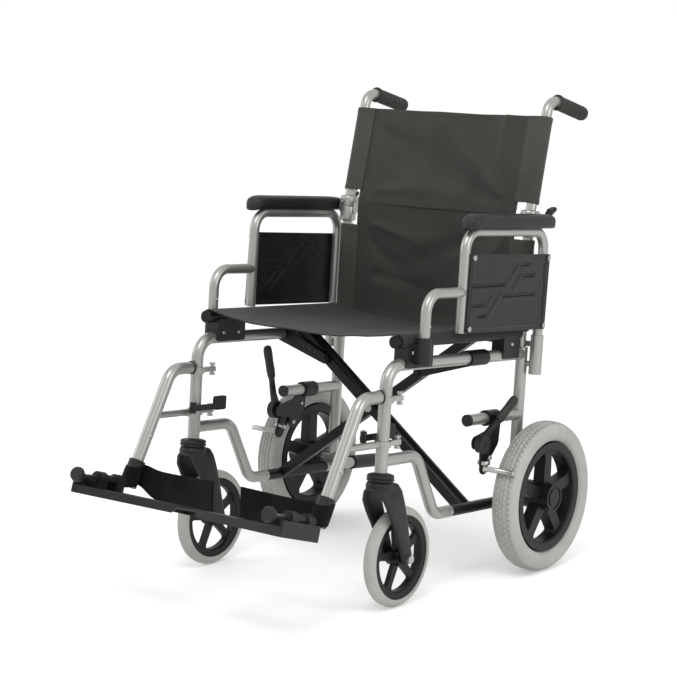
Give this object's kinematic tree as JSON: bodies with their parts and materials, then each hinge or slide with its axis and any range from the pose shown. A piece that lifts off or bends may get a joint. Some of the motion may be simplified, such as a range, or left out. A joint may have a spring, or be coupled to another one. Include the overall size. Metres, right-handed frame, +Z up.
{
  "type": "manual wheelchair",
  "caption": "Folding transit wheelchair with small spoked rear wheels, castors, sling seat, half-folding back, push grips, lift-off armrests, brakes and swing-away footrests.",
  "frame": {"origin": "on the floor, under the middle of the bounding box", "axes": "+Z up; the sitter faces -Y; +X is the sitter's left"},
  "size_m": [0.692, 1.0619, 0.9843],
  "materials": {
    "silver_paint": "satin metallic",
    "steel": "satin",
    "black_metal": "satin",
    "black_plastic": "fine matt texture",
    "arm_pad": "soft matt skin",
    "grip_rubber": "matt",
    "wheel_plastic": "matt",
    "grey_tyre": "matt",
    "upholstery": "woven nylon"
  },
  "bodies": {
    "left_frame": {"left_side_frame": "silver_paint", "left_frame_plastics": "black_plastic", "left_back_hinge": "silver_paint", "left_rear_axle": "steel", "left_brake_clamp": "black_metal", "back_lower": "upholstery"},
    "left_upper_back": {"left_upper_cane": "silver_paint", "left_push_grip": "grip_rubber", "back_upper": "upholstery"},
    "left_back_release": {"left_back_lever": "black_plastic"},
    "left_armrest": {"left_armrest_tube": "silver_paint", "left_armrest_pad": "arm_pad", "left_side_panel": "black_plastic", "left_panel_screws": "steel"},
    "left_rear_wheel": {"left_rear_rim": "wheel_plastic", "left_rear_tyre": "grey_tyre"},
    "left_castor": {"left_castor_fork": "black_plastic", "left_castor_axle": "steel"},
    "left_castor_wheel": {"left_castor_rim": "wheel_plastic", "left_castor_tyre": "grey_tyre"},
    "left_brake_handle": {"left_brake_lever": "black_plastic"},
    "left_brake_bar": {"left_brake_shoe": "steel"},
    "left_footrest": {"left_hanger": "silver_paint", "left_foot_bracket": "black_plastic", "left_heel_loop": "upholstery"},
    "left_footrest_latch": {"left_hanger_latch": "black_plastic"},
    "left_plate": {"left_footplate": "black_plastic"},
    "left_link": {"left_brace_link": "black_metal"},
    "right_frame": {"right_side_frame": "silver_paint", "right_frame_plastics": "black_plastic", "right_back_hinge": "silver_paint", "right_rear_axle": "steel", "right_brake_clamp": "black_metal"},
    "right_upper_back": {"right_upper_cane": "silver_paint", "right_push_grip": "grip_rubber"},
    "right_back_release": {"right_back_lever": "black_plastic"},
    "right_armrest": {"right_armrest_tube": "silver_paint", "right_armrest_pad": "arm_pad", "right_side_panel": "black_plastic", "right_panel_screws": "steel"},
    "right_rear_wheel": {"right_rear_rim": "wheel_plastic", "right_rear_tyre": "grey_tyre"},
    "right_castor": {"right_castor_fork": "black_plastic", "right_castor_axle": "steel"},
    "right_castor_wheel": {"right_castor_rim": "wheel_plastic", "right_castor_tyre": "grey_tyre"},
    "right_brake_handle": {"right_brake_lever": "black_plastic"},
    "right_brake_bar": {"right_brake_shoe": "steel"},
    "right_footrest": {"right_hanger": "silver_paint", "right_foot_bracket": "black_plastic", "right_heel_loop": "upholstery"},
    "right_footrest_latch": {"right_hanger_latch": "black_plastic"},
    "right_plate": {"right_footplate": "black_plastic"},
    "right_link": {"right_brace_link": "black_metal"},
    "brace_outer": {"cross_brace_outer": "black_metal", "brace_bolt": "steel", "right_seat_half": "upholstery"},
    "brace_inner": {"cross_brace_inner": "black_metal", "left_seat_half": "upholstery"}
  },
  "joints": [
    {"name": "frame_fold", "type": "hinge", "parent": "left_frame", "child": "brace_outer", "pos_m": [0.242, 0.14633, 0.14952], "axis": [0, 0.9971, -0.0767], "range_deg": [0, 35.5], "deforming": ["left_seat_half", "right_seat_half", "back_upper", "back_lower", "left_heel_loop", "right_heel_loop"]},
    {"name": "brace_scissor", "type": "hinge", "parent": "brace_outer", "child": "brace_inner", "pos_m": [0, 0.11207, 0.32993], "axis": [0, -0.9971, 0.0767], "range_deg": [0, 71]},
    {"name": "right_frame_fold", "type": "hinge", "parent": "brace_inner", "child": "right_frame", "pos_m": [-0.242, 0.14633, 0.14952], "axis": [0, 0.9971, -0.0767], "range_deg": [0, 35.5]},
    {"name": "left_link_turn", "type": "hinge", "parent": "left_frame", "child": "left_link", "pos_m": [0.242, 0.1282, 0.46133], "axis": [0, 0.9971, -0.0767], "range_deg": [0, 88.2]},
    {"name": "left_armrest_lift", "type": "slide", "parent": "left_frame", "child": "left_armrest", "axis": [0, 0.0767, 0.9971], "range_m": [0, 0.12]},
    {"name": "left_back_fold", "type": "hinge", "parent": "left_frame", "child": "left_upper_back", "pos_m": [0.238, 0.32708, 0.73889], "axis": [-1, 0, 0], "range_deg": [0, 95]},
    {"name": "left_back_release_turn", "type": "hinge", "parent": "left_frame", "child": "left_back_release", "pos_m": [0.2605, 0.35208, 0.72493], "axis": [1, 0, 0], "range_deg": [0, 20], "stiffness_Nm_per_rad": 0.3},
    {"name": "left_rear_wheel_spin", "type": "hinge", "parent": "left_frame", "child": "left_rear_wheel", "pos_m": [0.313, 0.28034, 0.1575], "axis": [1, 0, 0], "continuous": true},
    {"name": "left_castor_swivel", "type": "hinge", "parent": "left_frame", "child": "left_castor", "pos_m": [0.242, -0.18557, 0.30694], "axis": [0, 0.0767, 0.9971], "continuous": true},
    {"name": "left_castor_wheel_spin", "type": "hinge", "parent": "left_castor", "child": "left_castor_wheel", "pos_m": [0.242, -0.13128, 0.10007], "axis": [1, 0, 0], "continuous": true},
    {"name": "left_brake_handle_turn", "type": "hinge", "parent": "left_frame", "child": "left_brake_handle", "pos_m": [0.269, 0.11393, 0.28891], "axis": [1, 0, 0], "range_deg": [0, 72.3]},
    {"name": "left_brake_bar_turn", "type": "hinge", "parent": "left_frame", "child": "left_brake_bar", "pos_m": [0.262, 0.13877, 0.27798], "axis": [-1, 0, 0], "range_deg": [0, 27.6]},
    {"name": "left_footrest_swing", "type": "hinge", "parent": "left_frame", "child": "left_footrest", "pos_m": [0.242, -0.1802, 0.37674], "axis": [0, 0.0767, 0.9971], "range_deg": [0, 90]},
    {"name": "left_footrest_latch_turn", "type": "hinge", "parent": "left_footrest", "child": "left_footrest_latch", "pos_m": [0.219, -0.21441, 0.34928], "axis": [0, 0.0767, 0.9971], "range_deg": [0, 20], "stiffness_Nm_per_rad": 0.3},
    {"name": "left_plate_flip", "type": "hinge", "parent": "left_footrest", "child": "left_plate", "pos_m": [0.242, -0.43404, 0.2335], "axis": [0, 0.9558, -0.294], "range_deg": [0, 100.05]},
    {"name": "right_link_turn", "type": "hinge", "parent": "right_frame", "child": "right_link", "pos_m": [-0.242, 0.1282, 0.46133], "axis": [0, -0.9971, 0.0767], "range_deg": [0, 88.2]},
    {"name": "right_armrest_lift", "type": "slide", "parent": "right_frame", "child": "right_armrest", "axis": [0, 0.0767, 0.9971], "range_m": [0, 0.12]},
    {"name": "right_back_fold", "type": "hinge", "parent": "right_frame", "child": "right_upper_back", "pos_m": [-0.238, 0.32708, 0.73889], "axis": [-1, 0, 0], "range_deg": [0, 95]},
    {"name": "right_back_release_turn", "type": "hinge", "parent": "right_frame", "child": "right_back_release", "pos_m": [-0.2605, 0.35208, 0.72493], "axis": [1, 0, 0], "range_deg": [0, 20], "stiffness_Nm_per_rad": 0.3},
    {"name": "right_rear_wheel_spin", "type": "hinge", "parent": "right_frame", "child": "right_rear_wheel", "pos_m": [-0.313, 0.28034, 0.1575], "axis": [1, 0, 0], "continuous": true},
    {"name": "right_castor_swivel", "type": "hinge", "parent": "right_frame", "child": "right_castor", "pos_m": [-0.242, -0.18557, 0.30694], "axis": [0, 0.0767, 0.9971], "continuous": true},
    {"name": "right_castor_wheel_spin", "type": "hinge", "parent": "right_castor", "child": "right_castor_wheel", "pos_m": [-0.242, -0.13128, 0.10007], "axis": [1, 0, 0], "continuous": true},
    {"name": "right_brake_handle_turn", "type": "hinge", "parent": "right_frame", "child": "right_brake_handle", "pos_m": [-0.269, 0.11393, 0.28891], "axis": [-1, 0, 0], "range_deg": [0, 72.3]},
    {"name": "right_brake_bar_turn", "type": "hinge", "parent": "right_frame", "child": "right_brake_bar", "pos_m": [-0.262, 0.13877, 0.27798], "axis": [1, 0, 0], "range_deg": [0, 27.6]},
    {"name": "right_footrest_swing", "type": "hinge", "parent": "right_frame", "child": "right_footrest", "pos_m": [-0.242, -0.1802, 0.37674], "axis": [0, -0.0767, -0.9971], "range_deg": [0, 90]},
    {"name": "right_footrest_latch_turn", "type": "hinge", "parent": "right_footrest", "child": "right_footrest_latch", "pos_m": [-0.219, -0.21441, 0.34928], "axis": [0, -0.0767, -0.9971], "range_deg": [0, 20], "stiffness_Nm_per_rad": 0.3},
    {"name": "right_plate_flip", "type": "hinge", "parent": "right_footrest", "child": "right_plate", "pos_m": [-0.242, -0.43404, 0.2335], "axis": [0, -0.9558, 0.294], "range_deg": [0, 100.05]}
  ],
  "couplings": [
    {"joint": "brace_scissor", "follows": "frame_fold", "ratio": 2},
    {"joint": "right_frame_fold", "follows": "frame_fold", "ratio": 1},
    {"joint": "left_link_turn", "follows": "frame_fold", "ratio": 2.483},
    {"joint": "left_brake_bar_turn", "follows": "left_brake_handle_turn", "ratio": 0.3817},
    {"joint": "left_plate_flip", "follows": "frame_fold", "ratio": 2.8169},
    {"joint": "right_link_turn", "follows": "frame_fold", "ratio": 2.483},
    {"joint": "right_back_fold", "follows": "left_back_fold", "ratio": 1},
    {"joint": "right_brake_bar_turn", "follows": "right_brake_handle_turn", "ratio": 0.3817},
    {"joint": "right_plate_flip", "follows": "frame_fold", "ratio": 2.8169}
  ]
}
